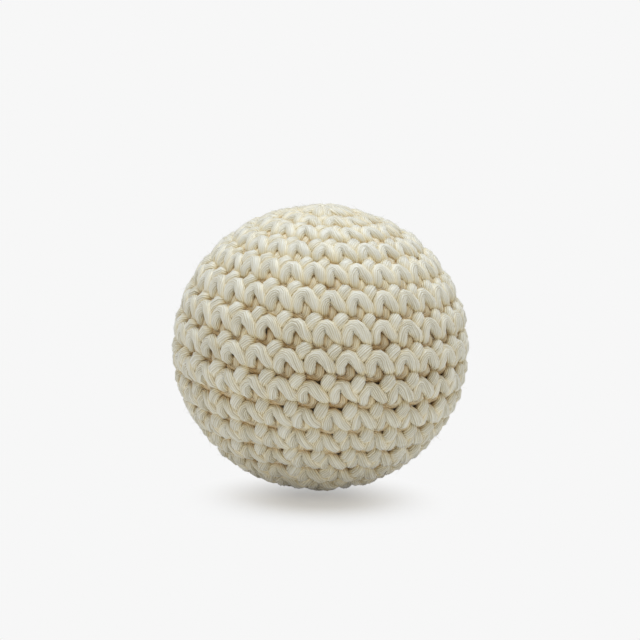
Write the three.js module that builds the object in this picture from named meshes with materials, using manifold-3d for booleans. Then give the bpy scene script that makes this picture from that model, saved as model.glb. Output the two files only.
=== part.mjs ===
// Crocheted ball. Cotton yarn is worked in single crochet in one unbroken spiral, from a magic ring
// at the top down to six stitches, over a filling of loose fibre. The last six front loops are drawn
// together underneath by the yarn's end.
//
// Millimetres, +Z up along the ball's axis. The origin is the middle of the flattened underside.
//
// Every point of the crochet is given by three numbers: the angle walked along the spiral, the angle
// down from the top pole, and the depth below the ball's outer surface. One turn of the spiral is a
// round, and each round is its own solid strip of stitches that lies against the turns above and
// below it and against the filling.

import * as THREE from "three";
import { mergeVertices } from "three/addons/utils/BufferGeometryUtils.js";
import Module from "manifold-3d";

// Outer size of the ball, as it stands on its flattened underside.
const ballDiameter = 51;
const ballHeight = 49.2;
const restFlatDepth = 0.5;

// Stitch counts: six more in each widening round, then even rounds, then six fewer in each.
const stitchesInRing = 6;
const wideningRounds = 5;
const evenRounds = 6;

// Yarn and fabric.
const yarnDiameter = 2.2;
const crestWidth = 1.7;
const fabricThickness = 3.8;
const furrowDepth = 1.3;
const legHoleDepth = 0.7;
const footDepth = 0.55;
const clearance = 0.3;

// How far the stitches of each turn stand back from those of the turn above, in stitches.
const stitchLean = 0.22;

// The turns of the upper half are drawn up towards the pole: by how many turns where it is most,
// at which turn that is, and how far it spreads.
const drawnUp = 0.26;
const drawnUpTurn = 4.8;
const drawnUpSpread = 2.8;

// Where the spiral starts, counted from +X. The jog between the turns lies at the back.
const spiralStart = THREE.MathUtils.degToRad(97);

// Start and end of the yarn.
const ringBore = 1.8;
const gatheredLoopLength = 4.3;
const gatheredLoopThickness = 2.4;
const startTailLength = 14;
const closingTailLength = 24;
const tailOffset = 2.5;

// Mesh steps.
const ringSteps = 16;
const yarnSides = 8;
const tailSteps = 12;
const fillingSegments = 36;
const fillingRings = 14;
const stationsPerLoop = 4;

// The ball is a spheroid, a little flatter than a sphere. Its underside is cut flat.
const radius = ballDiameter / 2;
const halfHeight = (ballHeight + restFlatDepth) / 2;
const centreHeight = halfHeight - restFlatDepth;

// A point at an angle round the axis, an angle down from the top pole and a depth under the skin.
function ballPoint(around, down, depth) {
  const skin = new THREE.Vector3(
    radius * Math.sin(down) * Math.cos(around),
    radius * Math.sin(down) * Math.sin(around),
    halfHeight * Math.cos(down)
  );
  const outward = new THREE.Vector3(
    skin.x / radius ** 2,
    skin.y / radius ** 2,
    skin.z / halfHeight ** 2
  ).normalize();
  skin.addScaledVector(outward, -depth);
  skin.z += centreHeight;
  return skin;
}

// The number of stitches in each round, from the magic ring down.
function stitchCounts() {
  const counts = [];
  for (let round = 1; round <= wideningRounds; round += 1) {
    counts.push(stitchesInRing * round);
  }
  for (let round = 0; round < evenRounds; round += 1) {
    counts.push(stitchesInRing * wideningRounds);
  }
  for (let round = wideningRounds - 1; round >= 1; round -= 1) {
    counts.push(stitchesInRing * round);
  }
  return counts;
}

// The first and last rounds take a whole turn. Each round between them takes a turn less the lean.
const counts = stitchCounts();
const lastRound = counts.length - 1;
const fullTurn = 2 * Math.PI;
const roundStarts = [0];
for (const [index, count] of counts.entries()) {
  const lean = index === 0 || index === lastRound ? 0 : stitchLean * fullTurn / count;
  roundStarts.push(roundStarts[index] + fullTurn - lean);
}
const spiralLength = roundStarts[counts.length];
const turns = spiralLength / fullTurn;

// Angles down from the pole at which the crochet starts and ends, and the width of one turn.
const poleRadius = radius ** 2 / halfHeight;
const ringEdge = ringBore / 2 / poleRadius;
const gatherEdge = Math.PI - gatheredLoopLength / poleRadius;
const turnPitch = gatherEdge / turns;

// The first and last turns have whole stitches too, so their edges ease into the spiral.
const easeShare = 0.3;
const easeTurns = 0.8;

// The angle down from the pole of the edge where a turn starts, at an angle walked along the spiral.
function spiralEdge(walked) {
  const turn = walked / fullTurn;
  const easeIn = easeShare * Math.exp((1 - turn) / easeTurns);
  const easeOut = easeShare * Math.exp((turn - turns) / easeTurns);
  const lift = drawnUp * Math.exp(-(((turn - drawnUpTurn) / drawnUpSpread) ** 2));
  return turnPitch * (turn - 0.5 + easeIn - easeOut - lift);
}

// The upper edge of the first round is the magic ring's, and the lower edge of the last the gather's.
function upperEdge(round, walked) {
  return round === 0 ? ringEdge : spiralEdge(walked);
}

function lowerEdge(round, walked) {
  return round === lastRound ? gatherEdge : spiralEdge(walked + fullTurn);
}

// Half the clearance, as an angle, taken off every face that meets another turn.
const edgeGap = clearance / 2 / poleRadius;

// A stitch seen from outside is an arch of yarn: a short left leg, the crown and a long right leg,
// with a hole under the crown and a furrow along both edges of the round. Its strand stands proud
// of the strip and runs zigzag along it. Each station gives where the middle of the strand lies
// across the strip, from 0 at the upper edge to 1 at the lower, and how deep it lies.
const stitchStations = [
  { across: 0.7, depth: footDepth, upperFurrow: furrowDepth + legHoleDepth, lowerFurrow: furrowDepth },
  { across: 0.33, depth: 0, upperFurrow: furrowDepth, lowerFurrow: furrowDepth + legHoleDepth },
  { across: 0.48, depth: footDepth / 4, upperFurrow: furrowDepth, lowerFurrow: furrowDepth }
];

// The crest of the strand is narrower where the round is, by this share of its width to each side.
const crestShare = 0.24;

// The six corners of the strip's cross-section at one station.
function stripSection(round, walked, turnBack, station) {
  const upper = upperEdge(round, walked) + edgeGap;
  const lower = lowerEdge(round, walked) - edgeGap;
  const width = lower - upper;
  const halfCrest = Math.min(crestWidth / 2 / poleRadius, width * crestShare);
  const middle = upper + width * station.across;
  const around = spiralStart + walked + turnBack;
  return [
    ballPoint(around, upper, fabricThickness),
    ballPoint(around, upper, station.upperFurrow),
    ballPoint(around, middle - halfCrest, station.depth),
    ballPoint(around, middle + halfCrest, station.depth),
    ballPoint(around, lower, station.lowerFurrow),
    ballPoint(around, lower, fabricThickness)
  ];
}

// Joins the sections of an open strip, each a closed loop of points, and closes both its ends.
function stripGeometry(sections) {
  const size = sections[0].length;
  const positions = sections.flat().flatMap((point) => [point.x, point.y, point.z]);
  const triangles = [];
  for (let index = 0; index + 1 < sections.length; index += 1) {
    for (let side = 0; side < size; side += 1) {
      const a = index * size + side;
      const b = index * size + (side + 1) % size;
      triangles.push(a, b, a + size, b, b + size, a + size);
    }
  }
  const last = (sections.length - 1) * size;
  for (let side = 1; side + 1 < size; side += 1) {
    triangles.push(0, side + 1, side);
    triangles.push(last, last + side, last + side + 1);
  }
  const geometry = new THREE.BufferGeometry();
  geometry.setAttribute("position", new THREE.Float32BufferAttribute(positions, 3));
  geometry.setIndex(triangles);
  return geometry;
}

// One round: its stitches side by side along the spiral, from its first foot to its last.
function roundGeometry(round) {
  const start = roundStarts[round];
  const step = (roundStarts[round + 1] - start) / counts[round] / stitchStations.length;
  const total = counts[round] * stitchStations.length;
  const middle = (upperEdge(round, start) + lowerEdge(round, start)) / 2;
  const endGap = edgeGap / Math.sin(middle);
  const sections = [];
  for (let place = 0; place <= total; place += 1) {
    const station = stitchStations[place % stitchStations.length];
    const endTrim = (place === 0 ? endGap : 0) - (place === total ? endGap : 0);
    sections.push(stripSection(round, start + place * step, endTrim, station));
  }
  return stripGeometry(sections);
}

// A solid of revolution about the ball's axis, from points of [radius, height] that run from axis to
// axis or close on themselves.
function revolved(profile, segments) {
  const points = profile.map(([across, height]) => new THREE.Vector2(across, height));
  return new THREE.LatheGeometry(points, segments).rotateX(Math.PI / 2);
}

// The gathered loops from the middle out to their rim: the share of their length at each ring of
// points, the depth of a loop's crest there, and the depth of the crease beside it.
const loopRings = [
  { reach: 0.35, crest: 0, crease: 0 },
  { reach: 0.7, crest: 0, crease: furrowDepth },
  { reach: 1, crest: furrowDepth, crease: furrowDepth }
];

// The six front loops of the last round, drawn in to the middle like petals with creases between.
function gatherGeometry() {
  const steps = stitchesInRing * stationsPerLoop;
  const rimAngle = gatherEdge + edgeGap;
  const positions = [];
  const addPoint = (point) => positions.push(point.x, point.y, point.z);
  addPoint(ballPoint(0, Math.PI, 0));
  for (const ring of loopRings) {
    const down = Math.PI - (Math.PI - rimAngle) * ring.reach;
    for (let step = 0; step < steps; step += 1) {
      const around = fullTurn * step / steps;
      const valley = (1 + Math.cos(stitchesInRing * around)) / 2;
      addPoint(ballPoint(around, down, ring.crest + (ring.crease - ring.crest) * valley));
    }
  }
  for (let step = 0; step < steps; step += 1) {
    addPoint(ballPoint(fullTurn * step / steps, rimAngle, gatheredLoopThickness));
  }
  addPoint(ballPoint(0, Math.PI, gatheredLoopThickness));
  const triangles = [];
  const ringStart = (ring) => 1 + ring * steps;
  const top = positions.length / 3 - 1;
  for (let step = 0; step < steps; step += 1) {
    const next = (step + 1) % steps;
    triangles.push(0, ringStart(0) + next, ringStart(0) + step);
    for (let ring = 0; ring < loopRings.length; ring += 1) {
      const a = ringStart(ring) + step;
      const b = ringStart(ring) + next;
      triangles.push(a, b, a + steps, b, b + steps, a + steps);
    }
    triangles.push(top, ringStart(loopRings.length) + step, ringStart(loopRings.length) + next);
  }
  const geometry = new THREE.BufferGeometry();
  geometry.setAttribute("position", new THREE.Float32BufferAttribute(positions, 3));
  geometry.setIndex(triangles);
  return geometry;
}

// The magic ring is a loop of yarn drawn tight. It hugs the inner face of the first round, level
// with the inner face of the fabric at its outer rim.
const ringMajor = (ringBore + yarnDiameter) / 2;
const ringDrop = poleRadius - Math.sqrt(poleRadius ** 2 - ringMajor ** 2);
const ringTop = centreHeight + halfHeight - fabricThickness - clearance - ringDrop;
const ringHeight = ringTop - yarnDiameter / 2;
const ringBottom = ringHeight - yarnDiameter / 2;

// The magic ring, or with some slack the hollow that it lies in.
function torus(slack) {
  const circle = [];
  const size = yarnDiameter / 2 + slack;
  for (let side = 0; side <= yarnSides; side += 1) {
    const angle = fullTurn * side / yarnSides;
    circle.push([ringMajor + size * Math.cos(angle), ringHeight + size * Math.sin(angle)]);
  }
  return revolved(circle, ringSteps);
}

// The path of a yarn's end: it leaves the ball's axis at its start and bears out to one side, so that
// the two ends pass each other however long they are. It runs straight on past both its heights.
class TailPath extends THREE.Curve {
  constructor(tail, overrun) {
    super();
    this.tail = tail;
    this.overrun = overrun;
  }

  getPoint(share) {
    const { start, end, side } = this.tail;
    const low = Math.min(start, end) - this.overrun;
    const high = Math.max(start, end) + this.overrun;
    const height = low + (high - low) * share;
    const reached = THREE.MathUtils.clamp((height - start) / (end - start), 0, 1);
    const offset = tailOffset * Math.sin(Math.PI / 2 * reached) ** 2;
    return new THREE.Vector3(side * offset, 0, height);
  }
}

// A tube round that path: the yarn's end, or with some slack the channel that it lies in.
function tailGeometry(tail, slack) {
  const section = new THREE.Shape();
  const size = yarnDiameter / 2 + slack;
  section.moveTo(size, 0);
  for (let side = 1; side < yarnSides; side += 1) {
    const angle = fullTurn * side / yarnSides;
    section.lineTo(size * Math.cos(angle), size * Math.sin(angle));
  }
  section.closePath();
  const path = new TailPath(tail, slack);
  return new THREE.ExtrudeGeometry(section, { steps: tailSteps, extrudePath: path });
}

// The start tail hangs from the magic ring, and the closing tail rises from the gather. Each has the
// heights of its start and its end, and the side that it bears to.
const startTailTop = ringBottom - clearance;
const startTail = { start: startTailTop, end: startTailTop - startTailLength, side: 1 };
const closingTailBottom = gatheredLoopThickness - restFlatDepth + clearance;
const closingTail = { start: closingTailBottom, end: closingTailBottom + closingTailLength, side: -1 };

// The filling fills the crochet to its inner face.
function fillingGeometry() {
  const profile = [];
  const depth = fabricThickness + clearance;
  for (let ring = 0; ring <= fillingRings; ring += 1) {
    const point = ballPoint(0, Math.PI * ring / fillingRings, depth);
    profile.unshift([ring % fillingRings === 0 ? 0 : point.x, point.z]);
  }
  return revolved(profile, fillingSegments);
}

// Booleans.
const wasm = await Module();
wasm.setup();

function toSolid(geometry) {
  const bare = new THREE.BufferGeometry();
  bare.setAttribute("position", geometry.getAttribute("position").clone());
  if (geometry.index) {
    bare.setIndex(geometry.index.clone());
  }
  const merged = mergeVertices(bare, 1e-4);
  return new wasm.Manifold(new wasm.Mesh({
    numProp: 3,
    vertProperties: Float32Array.from(merged.getAttribute("position").array),
    triVerts: Uint32Array.from(merged.index.array)
  }));
}

function toGeometry(solid) {
  const mesh = solid.getMesh();
  const geometry = new THREE.BufferGeometry();
  geometry.setAttribute("position", new THREE.Float32BufferAttribute(mesh.vertProperties, 3));
  geometry.setIndex(Array.from(mesh.triVerts));
  return geometry;
}

// The ball rests on a flat, so whatever reaches below the floor is taken off.
function cutAtRest(geometry) {
  const slab = new THREE.BoxGeometry(ballDiameter, ballDiameter, ballDiameter);
  slab.translate(0, 0, -ballDiameter / 2);
  return toGeometry(toSolid(geometry).subtract(toSolid(slab)));
}

// The filling gives way round the magic ring and round both yarn ends buried in it. Within the ring
// a well runs up through the filling's top.
function boredFilling() {
  const wellBottom = startTailTop - clearance;
  const well = [[0, wellBottom], [ringMajor, wellBottom], [ringMajor, ballHeight], [0, ballHeight]];
  const hollows = [
    torus(clearance),
    revolved(well, ringSteps),
    tailGeometry(startTail, clearance),
    tailGeometry(closingTail, clearance)
  ];
  let solid = toSolid(fillingGeometry());
  for (const hollow of hollows) {
    solid = solid.subtract(toSolid(hollow));
  }
  return toGeometry(solid);
}

const cottonYarn = new THREE.MeshStandardMaterial({ color: 0xe0dac4, roughness: 0.82, metalness: 0 });
const insideYarn = new THREE.MeshStandardMaterial({ color: 0xd3cab0, roughness: 0.88, metalness: 0 });
const fibreFill = new THREE.MeshStandardMaterial({ color: 0xf1efe9, roughness: 0.95, metalness: 0 });

const ball = new THREE.Group();

function addPiece(name, geometry, material) {
  const mesh = new THREE.Mesh(geometry, material.clone());
  mesh.name = name;
  ball.add(mesh);
}

for (let index = 0; index < counts.length; index += 1) {
  const name = "round_" + String(index + 1).padStart(2, "0");
  const strip = roundGeometry(index);
  strip.computeBoundingBox();
  const rests = strip.boundingBox.min.z < 0;
  addPiece(name, rests ? cutAtRest(strip) : strip, cottonYarn);
}
addPiece("closing_gather", cutAtRest(gatherGeometry()), cottonYarn);
addPiece("magic_ring", torus(0), insideYarn);
addPiece("start_tail", tailGeometry(startTail, 0), insideYarn);
addPiece("closing_tail", tailGeometry(closingTail, 0), insideYarn);
addPiece("fibre_filling", boredFilling(), fibreFill);

export default ball;
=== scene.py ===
"""A crocheted ball in cream cotton: the yarn of every stitch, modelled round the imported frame.

The crochet is one strand of yarn. It runs in a spiral from the magic ring on top to the gathered close
underneath, and each turn of the spiral is one piece. A point of the crochet is given as the CAD source
gives it: the angle walked along the spiral, how far across the turn it lies, from 0 at the upper edge
to 1 at the lower, and how deep it lies under the ball's skin. Lengths are in millimetres until a mesh
is made.
"""
from collections import namedtuple

import bpy
import numpy as np
from mathutils import Matrix, Vector


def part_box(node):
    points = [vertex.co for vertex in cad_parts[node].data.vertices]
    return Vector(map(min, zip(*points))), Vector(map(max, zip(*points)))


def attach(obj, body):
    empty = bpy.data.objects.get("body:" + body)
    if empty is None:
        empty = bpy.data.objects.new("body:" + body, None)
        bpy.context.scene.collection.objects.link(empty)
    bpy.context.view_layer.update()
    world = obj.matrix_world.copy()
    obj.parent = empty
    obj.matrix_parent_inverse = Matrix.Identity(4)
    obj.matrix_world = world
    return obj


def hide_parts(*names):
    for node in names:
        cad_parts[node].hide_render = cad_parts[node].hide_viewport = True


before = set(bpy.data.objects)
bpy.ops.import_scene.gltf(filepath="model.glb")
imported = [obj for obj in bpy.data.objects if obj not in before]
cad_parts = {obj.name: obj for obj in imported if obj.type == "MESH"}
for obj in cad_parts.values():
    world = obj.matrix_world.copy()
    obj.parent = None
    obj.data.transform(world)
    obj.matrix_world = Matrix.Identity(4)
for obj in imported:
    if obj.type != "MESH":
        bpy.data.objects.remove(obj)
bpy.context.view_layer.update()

MM = 0.001
FULL_TURN = 2 * np.pi

# Outer size of the ball, as it stands on its flattened underside.
BALL_DIAMETER = 51.0
BALL_HEIGHT = 49.2
REST_FLAT_DEPTH = 0.5
RADIUS = BALL_DIAMETER / 2
HALF_HEIGHT = (BALL_HEIGHT + REST_FLAT_DEPTH) / 2
CENTRE_HEIGHT = HALF_HEIGHT - REST_FLAT_DEPTH
POLE_RADIUS = RADIUS**2 / HALF_HEIGHT

# The pattern: stitches in each round from the magic ring down.
STITCHES_IN_RING = 6
WIDENING_ROUNDS = 5
EVEN_ROUNDS = 6
# Stitches lean, so all rounds but the first and the last end this share of a stitch short of a full
# turn. The spiral starts at the back, round the hole in the magic ring, and ends at the gathered
# loops: an angle, and two lengths in mm.
STITCH_LEAN = 0.22
SPIRAL_START = np.radians(97.0)
RING_BORE = 1.8
GATHERED_LOOP_LENGTH = 4.3
# The first and last turns are narrower, and the turns of the upper half are drawn up: shares of a
# turn's width, the turn where that is most, and how many turns it takes.
EASE_SHARE = 0.3
EASE_TURNS = 0.8
DRAWN_UP = 0.26
DRAWN_UP_TURN = 4.8
DRAWN_UP_SPREAD = 2.8

# The yarn: soft plied cotton with a slow twist. It has the source's diameter, and the radius out to
# the ridges of its plies is a little more than half of that. Each ply is a rounded lobe, and the
# furrow beside it is this share of the radius deep.
YARN_DIAMETER = 2.2
YARN_RADIUS = 1.12
SAMPLES_PER_POINT = 8
RINGS_PER_STITCH = 38
TWIST_PITCH = 17.0
FLATTENING = 0.06
PLIES = 17
POINTS_PER_PLY = 4
PLY_FURROW = 0.15
LOBE_POWER = 0.8
# Plies aren't even: every PLY_DRIFT mm each has a new shift, in plies, and a new depth of furrow.
PLY_DRIFT = 2.2
PLY_SHIFT = 0.15
FURROW_DEPTHS = (0.35, 1.25)
# Towards the top of the ball, where the light falls fullest, the furrows are softer, in shape and in
# their painted shade: heights in mm, and the share that is left.
FURROW_HEIGHTS = [8.0, 20.0, 34.0, 44.0]
FURROW_SHARES = [1.0, 1.0, 0.85, 0.55]
# The length of yarn in a stitch and the distance round it, which lay out the baked map.
STITCH_YARN = 24.0
YARN_GIRTH = 6.6
MAP_GAP = 0.02

# Fine fibres that stand off the yarn, only where it lies near the skin: lengths, radius, how deep
# they may start and how far they reach into the yarn, in mm, and the share they thin by.
FIBRES_PER_STITCH = 18
FIBRE_LENGTHS = (0.5, 1.5)
FIBRE_RADIUS = 0.018
FIBRE_DEPTH = 1.6
FIBRE_ROOT = 0.05
FIBRE_TAPER = 0.6
FIBRE_RINGS = 5
FIBRE_SIDES = 3
# They start on the yarn's outer side, this high above the floor, and stay just clear of it. So many
# places are tried for each.
LEAST_OUTWARD = 0.1
LOWEST_FIBRE = 0.5
FLOOR_CLEARANCE = 0.02
FIBRE_TRIES = 8
# A fibre leaves partly along the strand, partly outwards and partly in any direction, and it curls
# in any direction and back towards the yarn.
FIBRE_FORWARD = 0.9
FIBRE_OUTWARD = (0.15, 0.9)
FIBRE_WANDER = 0.45
FIBRE_CURL = 0.5
FIBRE_RETURN = 0.45

# How a crease between two stretches of yarn is found: its reach in mm, the directions looked at
# round the yarn, the nearest stitches that count, the stretch's own rings on either side that don't,
# and how far apart the rings of two strands are numbered.
CREASE_REACH = 0.5
PROBES = 12
NEAREST_STITCHES = 9
OWN_RINGS = 5
STRAND_NUMBERS = 100000

# The magic ring and the tails, which lie inside: they are laid in stretches of a few points.
FABRIC_THICKNESS = 3.8
CLEARANCE = 0.3
POINTS_PER_STRETCH = 6
RING_MAJOR = (RING_BORE + YARN_DIAMETER) / 2
RING_STRETCHES = 3
RING_TURNS = 1.06
RING_FALL = 0.25
RING_FULLNESS = 0.9
TAIL_STRETCHES = 2
TAIL_OFFSET = 2.5
TAIL_FULLNESS = 0.95

# The filling presses in among the backs of the stitches: the depth of its skin and of its lumps.
FILLING_DEPTH = 3.0
FILLING_LUMPS = 0.12
FILLING_ROWS = 48
FILLING_COLUMNS = 96

SEED = 20
rng = np.random.default_rng(SEED)


def pattern_counts():
    """Stitches in each round: six more in each widening round, even rounds, then six fewer."""
    widening = [STITCHES_IN_RING * step for step in range(1, WIDENING_ROUNDS + 1)]
    even = [widening[-1]] * EVEN_ROUNDS
    return widening + even + widening[-2::-1]


COUNTS = pattern_counts()
LAST_ROUND = len(COUNTS) - 1
LEANS = [0 if k in (0, LAST_ROUND) else STITCH_LEAN * FULL_TURN / n for k, n in enumerate(COUNTS)]
ROUND_STARTS = np.concatenate([[0], np.cumsum([FULL_TURN - lean for lean in LEANS])])
TURNS = ROUND_STARTS[-1] / FULL_TURN
GATHER_EDGE = np.pi - GATHERED_LOOP_LENGTH / POLE_RADIUS
TURN_PITCH = GATHER_EDGE / TURNS


def spiral_edge(walked):
    """The angle down from the top pole of the edge where a turn starts: it grows with the angle
    walked, one pitch a turn, eases in and out at the first and last turns, and is drawn up in the
    upper half by a bell curve."""
    turn = walked / FULL_TURN
    ease_in = EASE_SHARE * np.exp((1 - turn) / EASE_TURNS)
    ease_out = EASE_SHARE * np.exp((turn - TURNS) / EASE_TURNS)
    lift = DRAWN_UP * np.exp(-((turn - DRAWN_UP_TURN) / DRAWN_UP_SPREAD)**2)
    return TURN_PITCH * (turn - 0.5 + ease_in - ease_out - lift)


def ball_point(around, down, depth):
    """Points at an angle round the axis, an angle down from the top pole and a depth in mm under
    the skin of the spheroid, measured along the spheroid's normal."""
    skin = np.stack([
        RADIUS * np.sin(down) * np.cos(around),
        RADIUS * np.sin(down) * np.sin(around),
        HALF_HEIGHT * np.cos(down),
    ], -1)
    outward = skin / np.array([RADIUS**2, RADIUS**2, HALF_HEIGHT**2])
    outward /= np.linalg.norm(outward, axis=-1, keepdims=True)
    point = skin - outward * np.asarray(depth)[..., None]
    return point + np.array([0, 0, CENTRE_HEIGHT])


def outward_at(points):
    """The spheroid's outward direction at each point."""
    from_centre = points - np.array([0, 0, CENTRE_HEIGHT])
    outward = from_centre / np.array([RADIUS**2, RADIUS**2, HALF_HEIGHT**2])
    return outward / np.linalg.norm(outward, axis=-1, keepdims=True)


def round_point(index, along, across, depth):
    """Points of a round: along counts stitches from its first, across runs from its upper edge at 0
    to its lower edge at 1, and depth is in mm. The first round has no upper edge, so it gets the one
    that puts its crowns FIRST_CROWNS from the axis."""
    start, end = ROUND_STARTS[index], ROUND_STARTS[index + 1]
    walked = start + (end - start) * along / COUNTS[index]
    lower = np.full_like(walked, GATHER_EDGE) if index == LAST_ROUND else spiral_edge(walked + FULL_TURN)
    if index == 0:
        upper = (FIRST_CROWNS / POLE_RADIUS - CROWN_ACROSS * lower) / (1 - CROWN_ACROSS)
    else:
        upper = spiral_edge(walked)
    down = upper + (lower - upper) * across
    return ball_point(SPIRAL_START + walked, down, depth)


# One stitch, as the yarn runs: the front loop of the stitch above shows as a short plump bump, then
# the yarn passes down inside, comes out at the left foot, runs over the crown and down to the right
# foot as one arch, and passes below on to the next front loop. Each row is along, in stitches,
# across, in turns, depth of the strand's middle, in mm, and fullness.
FRONT_LOOP = [
    (-0.27, 0.47, 2.5, 0.90),
    (-0.26, 0.34, 1.35, 1.0),
    (-0.20, 0.20, 0.90, 1.06),
    (-0.11, 0.09, 0.90, 1.06),
    (-0.03, 0.03, 1.45, 0.98),
    (0.02, 0.04, 2.7, 0.87),
]
DOWN_PASS = [
    (0.20, 0.35, 2.9, 0.85),
    (0.34, 0.58, 2.4, 0.90),
    (0.40, 0.75, 1.95, 0.94),
    (0.42, 0.93, 1.95, 0.96),
    (0.32, 1.04, 2.4, 1.0),
    (0.12, 1.04, 2.4, 1.0),
    (-0.03, 1.02, 2.45, 0.96),
    (0.04, 0.90, 2.6, 0.88),
]
ARCH = [
    (0.10, 0.87, 2.1, 0.80),
    (0.055, 0.785, 1.2, 0.88),
    (0.03, 0.655, 0.92, 0.94),
    (0.055, 0.515, 0.88, 0.99),
    (0.13, 0.385, 0.87, 1.05),
    (0.25, 0.30, 0.86, 1.09),
    (0.38, 0.305, 0.86, 1.09),
    (0.50, 0.39, 0.86, 1.05),
    (0.615, 0.52, 0.87, 0.99),
    (0.715, 0.655, 0.93, 0.93),
    (0.785, 0.775, 1.4, 0.88),
    (0.80, 0.87, 2.5, 0.82),
]
UNDERPASS = [
    (0.87, 0.93, 2.6, 0.90),
    (0.92, 1.04, 2.45, 0.98),
    (0.74, 1.04, 2.4, 1.0),
    (0.55, 1.03, 2.4, 1.0),
    (0.57, 0.84, 2.8, 0.92),
    (0.66, 0.66, 2.9, 0.88),
]
STITCH = np.array(FRONT_LOOP + DOWN_PASS + ARCH + UNDERPASS)
# The same stitch in the lower rows: the bump stands upright and hangs lower, the crown lies deeper
# and the legs sweep out to the right.
LOW_FRONT_LOOP = [
    (-0.18, 0.56, 2.5, 0.87),
    (-0.19, 0.44, 1.3, 0.96),
    (-0.17, 0.29, 0.8, 1.0),
    (-0.13, 0.14, 0.8, 1.0),
    (-0.09, 0.04, 1.35, 0.96),
    (-0.06, 0.03, 2.7, 0.87),
]
LOW_ARCH = [
    (0.16, 0.88, 2.1, 0.88),
    (0.10, 0.80, 1.1, 0.95),
    (0.04, 0.68, 0.88, 1.0),
    (0.03, 0.54, 1.05, 1.02),
    (0.08, 0.43, 1.55, 1.0),
    (0.18, 0.37, 2.15, 0.98),
    (0.32, 0.41, 1.85, 0.98),
    (0.44, 0.51, 1.25, 1.0),
    (0.57, 0.62, 0.88, 1.0),
    (0.72, 0.71, 0.84, 0.99),
    (0.87, 0.76, 1.2, 0.94),
    (0.91, 0.84, 2.6, 0.86),
]
LOW_DOWN_PASS = [
    (0.20, 0.35, 2.9, 0.85),
    (0.34, 0.58, 2.4, 0.90),
    (0.40, 0.75, 1.95, 0.94),
    (0.42, 0.93, 1.95, 1.0),
    (0.32, 1.03, 2.3, 1.08),
    (0.12, 1.05, 2.4, 1.1),
    (-0.03, 1.04, 2.4, 1.06),
    (0.04, 0.94, 2.6, 0.95),
]
LOW_UNDERPASS = [
    (0.93, 0.93, 2.6, 0.95),
    (0.95, 1.04, 2.4, 1.06),
    (0.76, 1.05, 2.4, 1.1),
    (0.55, 1.04, 2.4, 1.08),
    (0.57, 0.84, 2.8, 0.95),
    (0.66, 0.66, 2.9, 0.90),
]
LOW_STITCH = np.array(LOW_FRONT_LOOP + LOW_DOWN_PASS + LOW_ARCH + LOW_UNDERPASS)
# The stitches of the first round come out of the magic ring, so no front loop lies above them, and
# the yarn passes on inside to the next left foot. Their crowns lie this far from the axis, in mm, and
# this far across the round.
FIRST_PASS = [
    (0.84, 1.00, 2.4, 0.95),
    (0.62, 1.04, 2.4, 1.0),
    (0.36, 1.03, 2.2, 1.0),
    (0.34, 0.80, 2.2, 0.95),
    (0.55, 0.62, 2.6, 0.90),
    (0.84, 0.66, 2.5, 0.90),
    (1.04, 0.86, 2.6, 0.88),
]
FIRST_STITCH = np.array(ARCH + FIRST_PASS)
FIRST_CROWNS = 1.35
CROWN_ACROSS = 0.27
# No two stitches are drawn quite alike: spreads of along, across, depth and fullness.
STITCH_SPREAD = np.array([0.03, 0.025, 0.07, 0.04])
POINT_SPREAD = np.array([0.012, 0.012, 0.05, 0.01])
# How the stitches change from the top down, at some rounds counted from 0: the share that is left of
# the relief about a level depth, the fullness of the yarn, the share of the lower rows' stitch, and
# how far the whole yarn is sunk, in mm.
LEVEL_DEPTH = 1.0
CHANGE_ROUNDS = [0, 1, 3, 7, 9, 12, 14]
RELIEF = [0.5, 0.58, 0.72, 1.03, 0.95, 0.84, 0.64]
FULLNESS = [1.18, 1.09, 0.98, 0.98, 1.0, 1.07, 1.16]
LOWNESS = [0.0, 0.0, 0.0, 0.1, 0.7, 1.0, 0.8]
SUNK = [0.2, 0.5, 0.15, 0.0, 0.0, 0.0, 0.0]
# Yarn spreads where a stitch is wider than those of the even rounds, up to a limit.
EVEN_WIDTH = FULL_TURN * RADIUS / (STITCHES_IN_RING * WIDENING_ROUNDS)
WIDEST = 1.16
# Two stitches worked into one are drawn together at the top.
PAIR_PULL = 0.14
# A gathered loop underneath: rows of turn, in sixths, reach from the pole and depth, in mm, and
# fullness.
GATHERED_LOOP = np.array([
    (0.00, GATHERED_LOOP_LENGTH, 2.8, 0.85),
    (0.10, 3.9, 1.8, 0.95),
    (0.25, 3.0, 1.15, 1.00),
    (0.45, 2.0, 1.1, 0.95),
    (0.65, 1.2, 1.7, 0.85),
    (0.75, 0.8, 2.9, 0.80),
    (0.80, 2.2, 3.3, 0.80),
])


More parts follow.
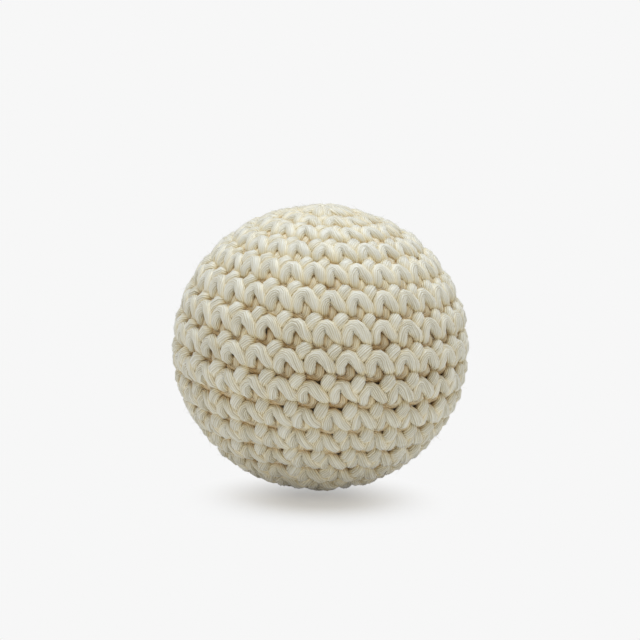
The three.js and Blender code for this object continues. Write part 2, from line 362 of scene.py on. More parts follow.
def round_control(index):
    """Control points of a round's yarn, as rows of (x, y, z, fullness), a stitch after a stitch, and
    the number of points to a stitch. Depths shrink towards LEVEL_DEPTH by the relief, and fuller
    yarn lies deeper, so that its top stays level."""
    relief, fullness, lowness, sunk = (np.interp(index, CHANGE_ROUNDS, values)
                                       for values in (RELIEF, FULLNESS, LOWNESS, SUNK))
    stitch = STITCH + (LOW_STITCH - STITCH) * lowness if index else FIRST_STITCH
    count = COUNTS[index]
    shape = np.repeat(stitch[None], count, 0)
    shape += rng.normal(0, 1, (count, 1, 4)) * STITCH_SPREAD
    shape += rng.normal(0, 1, shape.shape) * POINT_SPREAD
    walked = np.linspace(ROUND_STARTS[index], ROUND_STARTS[index + 1], count)[:, None]
    width = np.sin(np.minimum(spiral_edge(walked + FULL_TURN), np.pi)) * FULL_TURN * RADIUS / count
    fuller = fullness * np.clip((width / EVEN_WIDTH)**0.5, 1.0, WIDEST)
    shape[..., 2] = LEVEL_DEPTH + (shape[..., 2] - LEVEL_DEPTH) * relief
    shape[..., 2] += YARN_RADIUS * (fuller - 1) + sunk
    shape[..., 3] *= fuller
    if 0 < index < WIDENING_ROUNDS:
        place = np.arange(count) % (count // STITCHES_IN_RING)
        pull = PAIR_PULL * ((place == 0) * 1.0 - (place == 1))
        shape[..., 0] += pull[:, None] * np.clip(1 - shape[..., 1], 0, 1)
    shape[..., 0] += np.arange(count)[:, None]
    shape = np.concatenate([shape.reshape(-1, 4), stitch[:1] + (count, 0, 0, 0)])
    points = round_point(index, shape[:, 0], shape[:, 1], shape[:, 2])
    return np.concatenate([points, shape[:, 3:]], -1), len(stitch)


def gather_control():
    """Control points of the gathered close: each front loop of the last round runs in from the rim
    to the middle, dives there and comes back inside to the next."""
    shape = np.repeat(GATHERED_LOOP[None], STITCHES_IN_RING, 0)
    shape[..., 0] += np.arange(STITCHES_IN_RING)[:, None]
    shape = np.concatenate([shape.reshape(-1, 4), GATHERED_LOOP[:1] + (STITCHES_IN_RING, 0, 0, 0)])
    around = SPIRAL_START - shape[:, 0] * FULL_TURN / STITCHES_IN_RING
    points = ball_point(around, np.pi - shape[:, 1] / POLE_RADIUS, shape[:, 2])
    return np.concatenate([points, shape[:, 3:]], -1), len(GATHERED_LOOP)


def ring_control():
    """The magic ring: a loop of yarn a little over one turn long, which falls as it goes, so that its
    ends pass each other. It lies under the crochet at the top."""
    turn = np.linspace(0, RING_TURNS, RING_STRETCHES * POINTS_PER_STRETCH + 1)
    drop = POLE_RADIUS - np.sqrt(POLE_RADIUS**2 - RING_MAJOR**2)
    height = CENTRE_HEIGHT + HALF_HEIGHT - FABRIC_THICKNESS - CLEARANCE - drop - YARN_DIAMETER / 2
    angle = FULL_TURN * turn
    level = height - RING_FALL * (turn - 0.5)
    fullness = np.full_like(turn, RING_FULLNESS)
    rows = np.stack([RING_MAJOR * np.cos(angle), RING_MAJOR * np.sin(angle), level, fullness], -1)
    return rows, POINTS_PER_STRETCH


def tail_control(start, end, side):
    """A yarn's end between two heights: it leaves the axis at its start and bears out to one side by
    the square of a sine."""
    share = np.linspace(0, 1, TAIL_STRETCHES * POINTS_PER_STRETCH + 1)
    offset = side * TAIL_OFFSET * np.sin(np.pi / 2 * share)**2
    fullness = np.full_like(share, TAIL_FULLNESS)
    return np.stack([offset, 0 * share, start + (end - start) * share, fullness], -1), POINTS_PER_STRETCH


def spline(control, samples):
    """A Catmull-Rom spline through the rows of control, with a number of samples to each stretch."""
    padded = np.concatenate([2 * control[:1] - control[1:2], control, 2 * control[-1:] - control[-2:-1]])
    p0, p1, p2, p3 = (padded[k:len(padded) - 3 + k][:, None] for k in range(4))
    t = (np.arange(samples) / samples)[None, :, None]
    curve = 0.5 * (2 * p1 + (p2 - p0) * t + (2 * p0 - 5 * p1 + 4 * p2 - p3) * t**2
                   + (3 * p1 - p0 - 3 * p2 + p3) * t**3)
    return np.concatenate([curve.reshape(-1, control.shape[-1]), control[-1:]])


def even_rings(curve, marks, rings):
    """Rings along a curve: between two marks, which are sample numbers, they lie at even spacing."""
    step = np.linalg.norm(np.diff(curve[:, :3], axis=0), axis=1)
    reach = np.concatenate([[0], np.cumsum(step)])
    stops = reach[marks]
    shares = np.arange(rings) / rings
    wanted = (stops[:-1, None] + np.diff(stops)[:, None] * shares).ravel()
    wanted = np.append(wanted, stops[-1])
    columns = [np.interp(wanted, reach, curve[:, k]) for k in range(curve.shape[1])]
    return np.stack(columns, -1), wanted


def unit(vectors):
    """Vectors scaled to a length of one."""
    return vectors / np.linalg.norm(vectors, axis=-1, keepdims=True)


def carried_frames(centres, rings):
    """Normals carried along each stitch without turning about it, by two reflections a step, from
    the outward direction at its first ring. Returns the tangents, the normals and the turn from
    each stitch's carried normal to the next stitch's own first one."""
    tangents = unit(np.gradient(centres, axis=0))
    stitches = (len(centres) - 1) // rings
    first = np.arange(stitches + 1) * rings
    reference = outward_at(centres[first])
    reference = unit(reference - tangents[first] * np.sum(reference * tangents[first], -1, keepdims=True))
    normals = np.empty_like(centres)
    normals[first] = reference
    normal = reference[:-1]
    ring = first[:-1]
    for _ in range(rings):
        chord = centres[ring + 1] - centres[ring]
        size = np.sum(chord * chord, -1, keepdims=True)
        mirrored = normal - 2 / size * np.sum(chord * normal, -1, keepdims=True) * chord
        tangent = tangents[ring] - 2 / size * np.sum(chord * tangents[ring], -1, keepdims=True) * chord
        change = tangents[ring + 1] - tangent
        size = np.maximum(np.sum(change * change, -1, keepdims=True), 1e-12)
        normal = unit(mirrored - 2 / size * np.sum(change * mirrored, -1, keepdims=True) * change)
        ring = ring + 1
        inside = ring % rings != 0
        normals[ring[inside]] = normal[inside]
    side = np.cross(tangents[first[1:]], reference[1:])
    jump = np.arctan2(np.sum(normal * side, -1), np.sum(normal * reference[1:], -1))
    return tangents, normals, jump


def plies_at(reach):
    """Each ply's angle and the depth of the furrow beside it, at every ring: both drift along the
    yarn, by random values at every PLY_DRIFT mm with straight lines between."""
    knots = np.arange(0, reach[-1] + 2 * PLY_DRIFT, PLY_DRIFT)
    shift = rng.normal(0, PLY_SHIFT, (len(knots), PLIES))
    depth = rng.uniform(*FURROW_DEPTHS, (len(knots), PLIES))
    shift, depth = (np.stack([np.interp(reach, knots, column) for column in table.T], -1)
                    for table in (shift, depth))
    return (np.arange(PLIES) + shift) * FULL_TURN / PLIES, depth


def lobed_section(reach):
    """Angles round the yarn at every ring, and how far each point lies down a furrow: a power of a
    raised cosine over each ply, 0 at its ridge and 1 in the furrow beside it."""
    start, depth = plies_at(reach)
    share = np.arange(POINTS_PER_PLY) / POINTS_PER_PLY
    width = np.roll(start, -1, 1) - start
    width[:, -1] += FULL_TURN
    angle = (start[..., None] + width[..., None] * share).reshape(len(reach), -1)
    down = ((1 + np.cos(FULL_TURN * share)) / 2)**LOBE_POWER
    sunk = (depth[..., None] * down).reshape(len(reach), -1)
    return angle, sunk


Strand = namedtuple("Strand", "stitches centres radii tangents normals sides turned reach")


def lay_strand(control, stops):
    """The yarn along control points, of which stops make one stitch: the middle, radius and frame of
    every ring of it, how far the plies have turned there, and the length of yarn up to there."""
    stitches = (len(control) - 1) // stops
    curve = spline(control[:stitches * stops + 1], SAMPLES_PER_POINT)
    marks = np.arange(stitches + 1) * stops * SAMPLES_PER_POINT
    rows, reach = even_rings(curve, marks, RINGS_PER_STITCH)
    centres, radii = rows[:, :3], YARN_RADIUS * rows[:, 3]
    tangents, normals, jump = carried_frames(centres, RINGS_PER_STITCH)
    normals[-1] = normals[-2]
    first = np.arange(stitches) * RINGS_PER_STITCH
    stitch_of = np.minimum(np.arange(len(reach)) // RINGS_PER_STITCH, stitches - 1)
    twist = np.diff(np.append(reach[first], reach[-1])) * FULL_TURN / TWIST_PITCH
    base = np.concatenate([[0], np.cumsum(twist + jump)]) + rng.uniform(0, FULL_TURN)
    turned = base[stitch_of] + (reach - reach[first][stitch_of]) * FULL_TURN / TWIST_PITCH
    sides = np.cross(tangents, normals)
    return Strand(stitches, centres, radii, tangents, normals, sides, turned, reach)


def creases(strands):
    """How close the skin of the yarn lies to another stretch of yarn, from 0 where it is free to 1
    where they touch: at every ring, for PROBES directions round it, one minus the gap to the nearest
    stretch over CREASE_REACH. Only the nearest stitches are looked at, and a stretch's own next
    rings aren't counted."""
    def stacked(values, strand):
        """The values of a strand's rings, stitch by stitch."""
        return values[:-1].reshape(strand.stitches, RINGS_PER_STITCH, *values.shape[1:])

    centres = np.concatenate([stacked(strand.centres, strand) for strand in strands])
    radii = np.concatenate([stacked(strand.radii, strand) for strand in strands])
    number = np.concatenate([stacked(np.arange(len(strand.reach)) + STRAND_NUMBERS * k, strand)
                             for k, strand in enumerate(strands)])
    middles = centres.mean(1)
    apart = np.linalg.norm(middles[:, None] - middles[None], axis=-1)
    nearest = np.argsort(apart, axis=1)[:, :NEAREST_STITCHES]
    turn = (np.arange(PROBES) * FULL_TURN / PROBES)[:, None]
    tables, first = [], 0
    for strand in strands:
        near = nearest[first:first + strand.stitches]
        origin = middles[first:first + strand.stitches][:, None]
        centre, radius, normal, side = (
            stacked(values, strand)[:, :, None]
            for values in (strand.centres, strand.radii, strand.normals, strand.sides))
        probe = centre + radius[..., None] * (np.cos(turn) * normal + np.sin(turn) * side)
        probe = (probe.reshape(strand.stitches, -1, 3) - origin).astype(np.float32)
        other = (centres[near].reshape(strand.stitches, -1, 3) - origin).astype(np.float32)
        square = np.sum(probe**2, -1)[:, :, None] + np.sum(other**2, -1)[:, None]
        square -= 2 * probe @ other.transpose(0, 2, 1)
        gap = np.sqrt(np.maximum(square, 0)) - radii[near].reshape(strand.stitches, 1, -1)
        own = np.repeat(number[first:first + strand.stitches], PROBES, 1)[:, :, None]
        gap[np.abs(own - number[near].reshape(strand.stitches, 1, -1)) <= OWN_RINGS] = CREASE_REACH
        close = np.clip(1 - gap.min(2) / CREASE_REACH, 0, 1).reshape(-1, PROBES)
        tables.append(np.concatenate([close, close[-1:]]))
        first += strand.stitches
    return tables


def yarn_skin(strand, crease):
    """The points of a strand's skin, ring by ring: a lobed section that turns slowly as it goes, so
    that each ply winds round it, with softer furrows near the top of the ball. What would press into
    the floor lies flat on it. Returns the points, and how far each lies down a furrow and how close
    it lies to another stretch."""
    angle, sunk = lobed_section(strand.reach)
    sunk = sunk * np.interp(strand.centres[:, 2], FURROW_HEIGHTS, FURROW_SHARES)[:, None]
    lobe = 1 - PLY_FURROW * sunk
    around = angle + strand.turned[:, None]
    offset = np.cos(around)[..., None] * strand.normals[:, None]
    offset += np.sin(around)[..., None] * strand.sides[:, None]
    offset *= strand.radii[:, None, None] * lobe[..., None]
    outward = outward_at(strand.centres)[:, None]
    offset -= FLATTENING * np.sum(offset * outward, -1, keepdims=True) * outward
    points = strand.centres[:, None] + offset
    points[..., 2] = np.maximum(points[..., 2], 0)
    # The crease is known in PROBES directions, and runs straight from each to the next.
    probe = around % FULL_TURN * PROBES / FULL_TURN
    low = np.floor(probe).astype(int)
    ring = np.arange(len(around))[:, None]
    here, following = crease[ring, low % PROBES], crease[ring, (low + 1) % PROBES]
    return points, {"Furrow": sunk, "Crease": here + (following - here) * (probe - low)}


def stray_fibres(points, centres, tangents):
    """Fine fibres that stand off the yarn: each starts at a random place on its outer side, leaves
    along the strand and a little outwards, and curls back as the square of its length. Returns the
    fibres' points, thinner towards the end, and the ring and place that each starts from."""
    stitches = len(points) / RINGS_PER_STITCH
    wanted = int(FIBRES_PER_STITCH * stitches)
    ring = rng.integers(1, len(points) - 1, FIBRE_TRIES * wanted)
    place = rng.integers(0, points.shape[1], FIBRE_TRIES * wanted)
    root = points[ring, place]
    normal = unit(root - centres[ring])
    from_centre = (root - (0, 0, CENTRE_HEIGHT)) / (RADIUS, RADIUS, HALF_HEIGHT)
    level = np.linalg.norm(from_centre, axis=-1)
    outer = np.sum(normal * outward_at(root), -1) > LEAST_OUTWARD
    shallow = level > 1 - FIBRE_DEPTH / RADIUS
    chosen = np.flatnonzero(outer & shallow & (root[:, 2] > LOWEST_FIBRE))[:wanted]
    ring, place, root, normal = ring[chosen], place[chosen], root[chosen], normal[chosen]
    fibres = len(chosen)
    forward = tangents[ring] * rng.choice([-1.0, 1.0], (fibres, 1))
    leaving = unit(FIBRE_FORWARD * forward + rng.uniform(*FIBRE_OUTWARD, (fibres, 1)) * normal
                   + rng.normal(0, FIBRE_WANDER, (fibres, 3)))
    curl = rng.normal(0, FIBRE_CURL, (fibres, 3)) - FIBRE_RETURN * normal
    length = rng.uniform(*FIBRE_LENGTHS, (fibres, 1, 1))
    share = np.linspace(0, 1, FIBRE_RINGS)[None, :, None]
    path = root[:, None] + length * (share * leaving[:, None] + 0.5 * share**2 * curl[:, None])
    path -= FIBRE_ROOT * normal[:, None]
    heading = unit(leaving[:, None] + share * curl[:, None])
    # The small shift keeps the cross product off zero where a fibre heads straight outwards.
    across = unit(np.cross(heading, normal[:, None] + (0.01, 0.02, 0.03)))
    upward = np.cross(heading, across)
    turn = (np.arange(FIBRE_SIDES) * FULL_TURN / FIBRE_SIDES)[:, None]
    thickness = (FIBRE_RADIUS * (1 - FIBRE_TAPER * share))[..., None]
    section = np.cos(turn) * across[:, :, None] + np.sin(turn) * upward[:, :, None]
    fibre_points = path[:, :, None] + thickness * section
    fibre_points[..., 2] = np.maximum(fibre_points[..., 2], FLOOR_CLEARANCE)
    return fibre_points, ring, place


def tube_faces(tubes, rings, around, first):
    """The faces of closed tubes whose vertices run tube by tube and ring by ring from first: four
    corners to each face along a tube, and a flat face across each end."""
    tube = first + np.arange(tubes)[:, None, None] * rings * around
    ring = np.arange(rings - 1)[:, None] * around
    place = np.arange(around)
    following = (place + 1) % around
    quads = np.stack([tube + ring + place, tube + ring + following,
                      tube + ring + around + following, tube + ring + around + place], -1)
    caps = np.stack([place[::-1] + 0 * tube[:, 0], place + (rings - 1) * around + 0 * tube[:, 0]], 1)
    return quads.reshape(-1, 4), (caps + tube).reshape(-1, around)


def link_object(name, data):
    """A new object of the scene that shows this mesh, camera or lamp."""
    made = bpy.data.objects.new(name, data)
    bpy.context.collection.objects.link(made)
    return made


def strand_mesh(name, points, fibres):
    """One smooth mesh of a strand of yarn, a closed tube through its rings of points, and of the
    stray fibres on it."""
    rings, around = points.shape[:2]
    count, fibre_rings, fibre_around = fibres.shape[:3]
    faces = [*tube_faces(1, rings, around, 0),
             *tube_faces(count, fibre_rings, fibre_around, rings * around)]
    sizes = np.concatenate([np.full(len(part), part.shape[1]) for part in faces])
    loops = np.concatenate([part.ravel() for part in faces])
    vertices = np.concatenate([points.reshape(-1, 3), fibres.reshape(-1, 3)])
    mesh = bpy.data.meshes.new(name)
    mesh.vertices.add(len(vertices))
    mesh.vertices.foreach_set("co", (vertices * MM).astype(np.float32).ravel())
    mesh.loops.add(len(loops))
    mesh.loops.foreach_set("vertex_index", loops.astype(np.int32))
    mesh.polygons.add(len(sizes))
    mesh.polygons.foreach_set("loop_start", (np.cumsum(sizes) - sizes).astype(np.int32))
    mesh.update(calc_edges=True)
    mesh.polygons.foreach_set("use_smooth", np.ones(len(sizes), bool))
    return mesh


def yarn_map(mesh, reach, around, fibre_shape, fibre_ring, fibre_place):
    """The map named Yarn: it runs in mm along the strand and once round it."""
    ring = np.arange(len(reach) - 1)[:, None]
    place = np.arange(around)[None] / around + 0 * ring
    along = np.stack([reach[ring]] * 2 + [reach[ring + 1]] * 2, -1) + 0 * place[..., None]
    across = np.stack([place, place + 1 / around, place + 1 / around, place], -1)
    fill_map(mesh, "Yarn", along, across, reach[fibre_ring], fibre_place / around, fibre_shape)


def bake_map(mesh, stretches, around, fibre_shape, fibre_ring, fibre_place):
    """The map named OFBake: the strand's stretches lie side by side in rows, with a small gap round
    each."""
    columns = max(1, int(round(np.sqrt(stretches * YARN_GIRTH / STITCH_YARN))))
    rows = int(np.ceil(stretches / columns))
    inner = 1 - 2 * MAP_GAP

    def in_column(ring, stretch):
        """Across the map, where a ring of a stretch lies."""
        share = ring / RINGS_PER_STITCH - stretch
        return (stretch % columns + MAP_GAP + inner * share) / columns

    def in_row(place, stretch):
        """Up the map, where a place round a stretch lies."""
        return (stretch // columns + MAP_GAP + inner * place) / rows

    ring = np.arange(stretches * RINGS_PER_STITCH)[:, None]
    stretch = ring // RINGS_PER_STITCH
    place = np.arange(around)[None] / around + 0 * ring
    across = np.stack([place, place + 1 / around, place + 1 / around, place], -1)
    along = np.stack([in_column(ring, stretch)] * 2 + [in_column(ring + 1, stretch)] * 2, -1)
    across = in_row(across, stretch[..., None])
    fibre_stretch = np.minimum(fibre_ring // RINGS_PER_STITCH, stretches - 1)
    fill_map(mesh, "OFBake", along + 0 * across, across, in_column(fibre_ring, fibre_stretch),
             in_row(fibre_place / around, fibre_stretch), fibre_shape)


def fill_map(mesh, name, along, across, fibre_along, fibre_across, fibre_shape):
    """Fills a map: the corners along the yarn have their own values, its two ends have 0, and every
    corner of a fibre has the value of the place where it starts."""
    rings, around = fibre_shape[1:3]
    values = np.stack([fibre_along, fibre_across], -1)
    body = np.stack([along, across], -1).reshape(-1, 2)
    ends = np.zeros((2 * along.shape[1], 2))
    on_sides = np.repeat(values, (rings - 1) * around * 4, 0)
    on_ends = np.repeat(values, 2 * around, 0)
    corners = np.concatenate([body, ends, on_sides, on_ends])
    mesh.uv_layers.new(name=name).data.foreach_set("uv", corners.astype(np.float32).ravel())


def yarn_piece(name, strand, crease):
    """The yarn of a strand and its stray fibres, with two maps, and with the furrow and the crease
    of each point as attributes, 0 on the fibres."""
    points, values = yarn_skin(strand, crease)
    fibres, *roots = stray_fibres(points, strand.centres, strand.tangents)
    mesh = strand_mesh(name, points, fibres)
    for title, table in values.items():
        column = np.concatenate([table.ravel(), np.zeros(fibres.size // 3)]).astype(np.float32)
        mesh.attributes.new(title, "FLOAT", "POINT").data.foreach_set("value", column)
    yarn_map(mesh, strand.reach, points.shape[1], fibres.shape, *roots)
    bake_map(mesh, strand.stitches, points.shape[1], fibres.shape, *roots)
    mesh.validate()
    return link_object(name, mesh)


def filling_piece():
    """The filling: a spheroid inside the crochet, with gentle lumps that are a product of sines of
    both angles and fade out at the poles."""
    rows, columns = FILLING_ROWS, FILLING_COLUMNS
    down = np.linspace(0, np.pi, rows + 1)[1:-1, None]
    around = np.arange(columns)[None] * FULL_TURN / columns
    lumps = np.sin(7 * down + 2 * np.sin(3 * around)) * np.sin(5 * around + 3 * down)
    lumps *= FILLING_LUMPS * np.sin(down)
    skin = ball_point(around + 0 * down, down + 0 * around, FILLING_DEPTH - lumps)
    depth = np.array([FILLING_DEPTH])
    poles = [ball_point(np.zeros(1), np.array([angle]), depth) for angle in (0.0, np.pi)]
    points = np.concatenate([skin.reshape(-1, 3), *poles]) * MM
    ring = np.arange(rows - 2)[:, None] * columns
    place = np.arange(columns)[None]
    following = (place + 1) % columns
    quads = np.stack([ring + place, ring + columns + place, ring + columns + following,
                      ring + following], -1)
    top, bottom = len(points) - 2, len(points) - 1
    last = (rows - 2) * columns
    faces = quads.reshape(-1, 4).tolist()
    faces += [(top, k, (k + 1) % columns) for k in range(columns)]
    faces += [(bottom, last + (k + 1) % columns, last + k) for k in range(columns)]
    mesh = bpy.data.meshes.new("stuffing")
    mesh.from_pydata(points.tolist(), [], faces)
    mesh.polygons.foreach_set("use_smooth", np.ones(len(faces), bool))
    return link_object("stuffing", mesh)


def srgb(code):
    """A linear colour with alpha from an sRGB hex value."""
    parts = np.array([int(code[k:k + 2], 16) for k in (1, 3, 5)]) / 255
    linear = np.where(parts <= 0.04045, parts / 12.92, ((parts + 0.055) / 1.055) ** 2.4)
    return (*linear, 1.0)


def add(tree, kind, links=None, **settings):
    """Adds a node, sets its properties by name, and links its inputs."""
    node = tree.nodes.new(kind)
    for key, value in settings.items():
        setattr(node, key, value)
    for socket, source in (links or {}).items():
        tree.links.new(source, node.inputs[socket])
    return node


def blank_material(name):
    """A new material with an empty node tree, and the tree."""
    material = bpy.data.materials.new(name)
    material.use_nodes = True
    material.node_tree.nodes.clear()
    return material, material.node_tree


def seen_ray(tree):
    """1 for a ray that shows the thing it meets straight, in a reflection or through something else,
    and 0 for a ray that only brings light."""
    path = add(tree, "ShaderNodeLightPath")
    seen = add(tree, "ShaderNodeMath",
               {0: path.outputs["Is Camera Ray"], 1: path.outputs["Is Glossy Ray"]}, operation="MAXIMUM")
    return add(tree, "ShaderNodeMath",
               {0: seen.outputs[0], 1: path.outputs["Is Transmission Ray"]}, operation="MAXIMUM")


def fibre_fill():
    """Polyester fibre: a dull, fine tangle, drawn about 1 mm coarse, because the real fibres are too fine
    to show. It is seen only between the stitches, so its colours are painted light and shade: the warm
    creams and browns of the light that comes through the cotton, not the fibre's own."""
    material, tree = blank_material("polyester_fibre")
    place = add(tree, "ShaderNodeTexCoord")
    tangle = add(tree, "ShaderNodeTexNoise", {"Vector": place.outputs["Object"]})
    tangle.inputs["Scale"].default_value = 0.9 / MM
    tangle.inputs["Detail"].default_value = 6.0
    tangle.inputs["Distortion"].default_value = 1.5
    # Painted light and shade: the tangle's tone runs from a shaded brown to the cream of light that comes
    # through the cotton.
    tangle_and_painted_light = add(tree, "ShaderNodeValToRGB", {"Fac": tangle.outputs["Fac"]})
    tangle_and_painted_light.color_ramp.elements[0].color = srgb("#cfae7c")
    tangle_and_painted_light.color_ramp.elements[1].color = srgb("#ecdcb8")
    bump = add(tree, "ShaderNodeBump", {"Height": tangle.outputs["Fac"]})
    bump.inputs["Strength"].default_value = 0.6
    bump.inputs["Distance"].default_value = 0.3 * MM
    shader = add(tree, "ShaderNodeBsdfPrincipled",
                 {"Base Color": tangle_and_painted_light.outputs["Color"], "Normal": bump.outputs["Normal"]})
    shader.inputs["Roughness"].default_value = 0.95
    shader.inputs["Sheen Weight"].default_value = 0.3
    add(tree, "ShaderNodeOutputMaterial", {"Surface": shader.outputs[0]})
    return material


def skin_nearness(tree, place):
    """How near the skin of the ball the yarn lies, by the spheroid's own measure: 0 at the depth where
    its painted shade is darkest, and 1 where its colour is its own, with no painted shade."""
    # The depths in mm where the painted shade is darkest and where it ends.
    darkest, clear = 2.6, 0.2
    middle = add(tree, "ShaderNodeVectorMath", {0: place.outputs["Object"]}, operation="SUBTRACT")
    middle.inputs[1].default_value = (0, 0, CENTRE_HEIGHT * MM)
    scaled = add(tree, "ShaderNodeVectorMath", {0: middle.outputs[0]}, operation="DIVIDE")
    scaled.inputs[1].default_value = (RADIUS * MM, RADIUS * MM, HALF_HEIGHT * MM)
    level = add(tree, "ShaderNodeVectorMath", {0: scaled.outputs[0]}, operation="LENGTH")
    near = add(tree, "ShaderNodeMapRange", {"Value": level.outputs["Value"]})
    near.inputs["From Min"].default_value = 1 - darkest / RADIUS
    near.inputs["From Max"].default_value = 1 - clear / RADIUS
    return near


def painted_yarn_light_and_shade(tree, place):
    """Three ramps of painted light and shade that the yarn's place gives: painted shade, warmer and
    darker the deeper it lies in the ball; painted shade, darker in the furrows between plies; and painted
    light, lighter and warmer where two stretches touch, as light passes between them."""
    # Painted shade: the yarn is drawn darker and warmer the deeper it lies in the ball, where less light
    # reaches it.
    depth = add(tree, "ShaderNodeValToRGB", {"Fac": skin_nearness(tree, place).outputs["Result"]})
    depth.color_ramp.elements[0].color = srgb("#b07e3e")
    depth.color_ramp.elements[1].color = srgb("#f5f3e6")
    depth.color_ramp.elements.new(0.42).color = srgb("#d5b987")
    depth.color_ramp.elements.new(0.74).color = srgb("#f3edd6")
    # Painted shade: the colour is darker down each furrow between plies and untouched on their ridges.
    furrow = add(tree, "ShaderNodeAttribute", attribute_name="Furrow")
    shadow = add(tree, "ShaderNodeValToRGB", {"Fac": furrow.outputs["Fac"]})
    shadow.color_ramp.elements[0].color = srgb("#ffffff")
    shadow.color_ramp.elements[1].color = srgb("#d3c8ad")
    shadow.color_ramp.elements.new(0.4).color = srgb("#f0ecdf")
    # Painted light: where two stretches touch, the colour is lighter and warmer for the light that passes
    # between them, and a little darker where the yarn is free.
    crease = add(tree, "ShaderNodeAttribute", attribute_name="Crease")
    painted_crease_light = add(tree, "ShaderNodeValToRGB", {"Fac": crease.outputs["Fac"]})
    painted_crease_light.color_ramp.elements[0].color = srgb("#ededed")
    painted_crease_light.color_ramp.elements[1].color = srgb("#fff8e8")
    return depth, shadow, painted_crease_light


def cotton_yarn():
    """Cotton yarn, natural cream, lightly mercerised: soft, with a low silky sheen along the plies.
    Its colour is the product of its three ramps of painted light and shade, thin streaks along the fibres
    and faint patches."""
    material, tree = blank_material("cotton_yarn")
    place = add(tree, "ShaderNodeTexCoord")
    # Streaks less than 2 mm long and 26 to the girth, a quarter of a millimetre wide. Real fibres are
    # a tenth of that, too fine to show. The patches are about 6 mm across.
    yarn = add(tree, "ShaderNodeUVMap", uv_map="Yarn")
    along_fibre = add(tree, "ShaderNodeVectorMath", {0: yarn.outputs["UV"]}, operation="MULTIPLY")
    along_fibre.inputs[1].default_value = (0.6, 26.0, 1.0)
    fibre = add(tree, "ShaderNodeTexNoise", {"Vector": along_fibre.outputs[0]}, noise_dimensions="2D")
    fibre.inputs["Scale"].default_value = 1.0
    fibre.inputs["Detail"].default_value = 2.0
    streak = add(tree, "ShaderNodeMapRange", {"Value": fibre.outputs["Fac"]})
    streak.inputs["From Min"].default_value = 0.32
    streak.inputs["From Max"].default_value = 0.72
    streak.inputs["To Min"].default_value = 0.94
    streak.inputs["To Max"].default_value = 1.055
    patch = add(tree, "ShaderNodeTexNoise", {"Vector": place.outputs["Object"]})
    patch.inputs["Scale"].default_value = 0.16 / MM
    patch.inputs["Detail"].default_value = 2.0
    tint = add(tree, "ShaderNodeMapRange", {"Value": patch.outputs["Fac"]})
    tint.inputs["From Min"].default_value = 0.3
    tint.inputs["From Max"].default_value = 0.7
    tint.inputs["To Min"].default_value = 0.95
    tint.inputs["To Max"].default_value = 1.02
    both = add(tree, "ShaderNodeMath", {0: streak.outputs["Result"], 1: tint.outputs["Result"]},
               operation="MULTIPLY")

    # The painted light and shade of the yarn's place: by its depth, its furrows and its creases.
    depth, *others = painted_yarn_light_and_shade(tree, place)
    colour = add(tree, "ShaderNodeVectorMath", {0: depth.outputs["Color"], "Scale": both.outputs[0]},
                 operation="SCALE")
    for other in others:
        colour = add(tree, "ShaderNodeVectorMath", {0: colour.outputs[0], 1: other.outputs["Color"]},
                     operation="MULTIPLY")
    bump = add(tree, "ShaderNodeBump", {"Height": fibre.outputs["Fac"]})
    bump.inputs["Strength"].default_value = 0.5
    bump.inputs["Distance"].default_value = 0.1 * MM
    shader = add(tree, "ShaderNodeBsdfPrincipled",
                 {"Base Color": colour.outputs[0], "Normal": bump.outputs["Normal"]})
    shader.inputs["Roughness"].default_value = 0.34
    shader.inputs["Sheen Weight"].default_value = 0.6
    shader.inputs["Sheen Roughness"].default_value = 0.4
    shader.inputs["Specular IOR Level"].default_value = 0.7
    add(tree, "ShaderNodeOutputMaterial", {"Surface": shader.outputs[0]})
    return material


def finish_piece(piece, node, material):
    """Gives a piece its material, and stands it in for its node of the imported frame."""
    piece.data.materials.append(material)
    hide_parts(node)
    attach(piece, "root")
    return piece


def tail_ends(node, start_corner):
    """The heights in mm between which a tail runs, from the box of its solid."""
    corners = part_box(node)
    return corners[start_corner][2] / MM, corners[1 - start_corner][2] / MM


def crochet():
    """The yarn from the magic ring to the gathered close, and its two tails, a piece for each node.
    All strands are laid first, because a crease is found between one strand and its neighbours."""
    rounds = range(len(COUNTS))
    nodes = [f"round_{index + 1:02d}" for index in rounds]
    names = [f"crochet_{node}" for node in nodes]
    strands = [lay_strand(*round_control(index)) for index in rounds]
    nodes += ["closing_gather", "magic_ring", "start_tail", "closing_tail"]
    names += ["gathered_loops", "magic_ring_loop", "start_tail_yarn", "closing_tail_yarn"]
    strands += [lay_strand(*gather_control()), lay_strand(*ring_control()),
                lay_strand(*tail_control(*tail_ends("start_tail", 1), 1)),
                lay_strand(*tail_control(*tail_ends("closing_tail", 0), -1))]
    material = cotton_yarn()
    for node, name, strand, crease in zip(nodes, names, strands, creases(strands)):
        finish_piece(yarn_piece(name, strand, crease), node, material)


def filling():
    """The filling's piece, with its fibre material, standing in for its node."""
    piece = finish_piece(filling_piece(), "fibre_filling", fibre_fill())


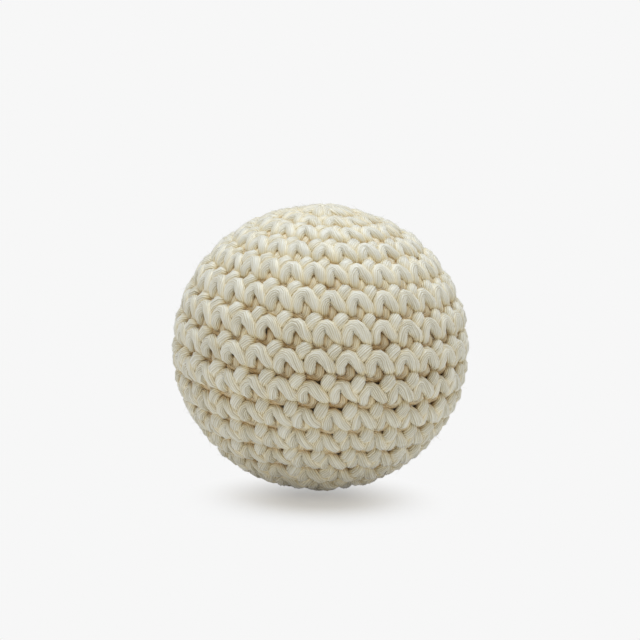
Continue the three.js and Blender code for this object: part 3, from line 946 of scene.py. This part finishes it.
def paper_floor():
    """White paper. Near the ball it shows the ball's shadow, and further out it blends into the
    plain pale surround, by the distance from a point just in front of the ball."""
    paper, tree = blank_material("white_paper")
    # How far behind that point the ball stands, and how far off the paper is plain, in mm.
    offset, reach = 14, 24
    place = add(tree, "ShaderNodeTexCoord")
    moved = add(tree, "ShaderNodeVectorMath", {0: place.outputs["Object"]}, operation="ADD")
    moved.inputs[1].default_value = (0, offset * MM, 0)
    scaled = add(tree, "ShaderNodeVectorMath", {0: moved.outputs[0]}, operation="DIVIDE")
    scaled.inputs[1].default_value = (reach * MM, reach * MM, 1)
    away = add(tree, "ShaderNodeVectorMath", {0: scaled.outputs[0]}, operation="LENGTH")
    fade = add(tree, "ShaderNodeMapRange", {"Value": away.outputs["Value"]},
               interpolation_type="SMOOTHSTEP")
    fade.inputs["From Min"].default_value = 0.12
    fade.inputs["From Max"].default_value = 1.0
    fade.inputs["To Min"].default_value = 0.34
    fade.inputs["To Max"].default_value = 1.0
    lit = add(tree, "ShaderNodeBsdfDiffuse")
    lit.inputs["Color"].default_value = srgb("#f7f7f7")
    plain = add(tree, "ShaderNodeEmission")
    plain.inputs["Color"].default_value = srgb("#f7f7f7")
    share = add(tree, "ShaderNodeMath", {0: seen_ray(tree).outputs[0], 1: fade.outputs["Result"]},
                operation="MULTIPLY")
    mix = add(tree, "ShaderNodeMixShader", {0: share.outputs[0], 1: lit.outputs[0], 2: plain.outputs[0]})
    add(tree, "ShaderNodeOutputMaterial", {"Surface": mix.outputs[0]})
    return paper


def lay_floor():
    """A level square of paper, 6 m wide, under the ball."""
    reach = 3.0
    mesh = bpy.data.meshes.new("floor")
    corners = [(-reach, -reach, 0), (reach, -reach, 0), (reach, reach, 0), (-reach, reach, 0)]
    mesh.from_pydata(corners, [], [(0, 1, 2, 3)])
    mesh.materials.append(paper_floor())
    link_object("floor", mesh)


def place_camera():
    """The photograph's view: a long lens a little above the ball, tipped a degree, that shows the
    ball's middle at its place in the picture."""
    picture = 640
    lens_pixels = 3540.0
    ball_pixels = (320.5, 346.5)
    elevation = np.radians(10.4)
    roll = np.radians(1.3)
    distance = 24 * RADIUS * MM
    lens = bpy.data.cameras.new("camera")
    lens.sensor_width = 36
    lens.lens = lens_pixels / picture * lens.sensor_width
    lens.clip_start = 0.05
    lens.clip_end = 20
    back = Vector((0, -np.cos(elevation), np.sin(elevation)))
    turn = back.to_track_quat("Z", "Y").to_matrix() @ Matrix.Rotation(roll, 3, "Z")
    right, up = turn.col[0], turn.col[1]
    per_pixel = distance / lens_pixels
    aim = Vector((0, 0, CENTRE_HEIGHT * MM))
    aim += right * (picture / 2 - ball_pixels[0]) * per_pixel
    aim += up * (ball_pixels[1] - picture / 2) * per_pixel
    camera = link_object("camera", lens)
    camera.matrix_world = Matrix.Translation(aim + back * distance) @ turn.to_4x4()
    bpy.context.scene.camera = camera


def hang_light():
    """A large soft light overhead, a little to the back, cooler than the surround."""
    lamp = bpy.data.lights.new("overhead", "SUN")
    lamp.energy = 2.17
    lamp.color = (0.75, 0.855, 1.0)
    lamp.angle = np.radians(60)
    link_object("overhead", lamp).rotation_euler = (np.radians(-4), 0, 0)


def pale_surround():
    """An even warm light from all round, which is seen as a plain pale grey."""
    world = bpy.data.worlds.new("surround")
    bpy.context.scene.world = world
    world.use_nodes = True
    tree = world.node_tree
    tree.nodes.clear()
    light = add(tree, "ShaderNodeBackground")
    light.inputs["Color"].default_value = (1.0, 0.943, 0.86, 1.0)
    light.inputs["Strength"].default_value = 0.59
    plain = add(tree, "ShaderNodeBackground")
    plain.inputs["Color"].default_value = srgb("#f7f7f7")
    mix = add(tree, "ShaderNodeMixShader",
              {0: seen_ray(tree).outputs[0], 1: light.outputs[0], 2: plain.outputs[0]})
    add(tree, "ShaderNodeOutputWorld", {"Surface": mix.outputs[0]})


crochet()
filling()
lay_floor()
place_camera()
hang_light()
pale_surround()
bpy.context.scene.view_settings.view_transform = "Standard"
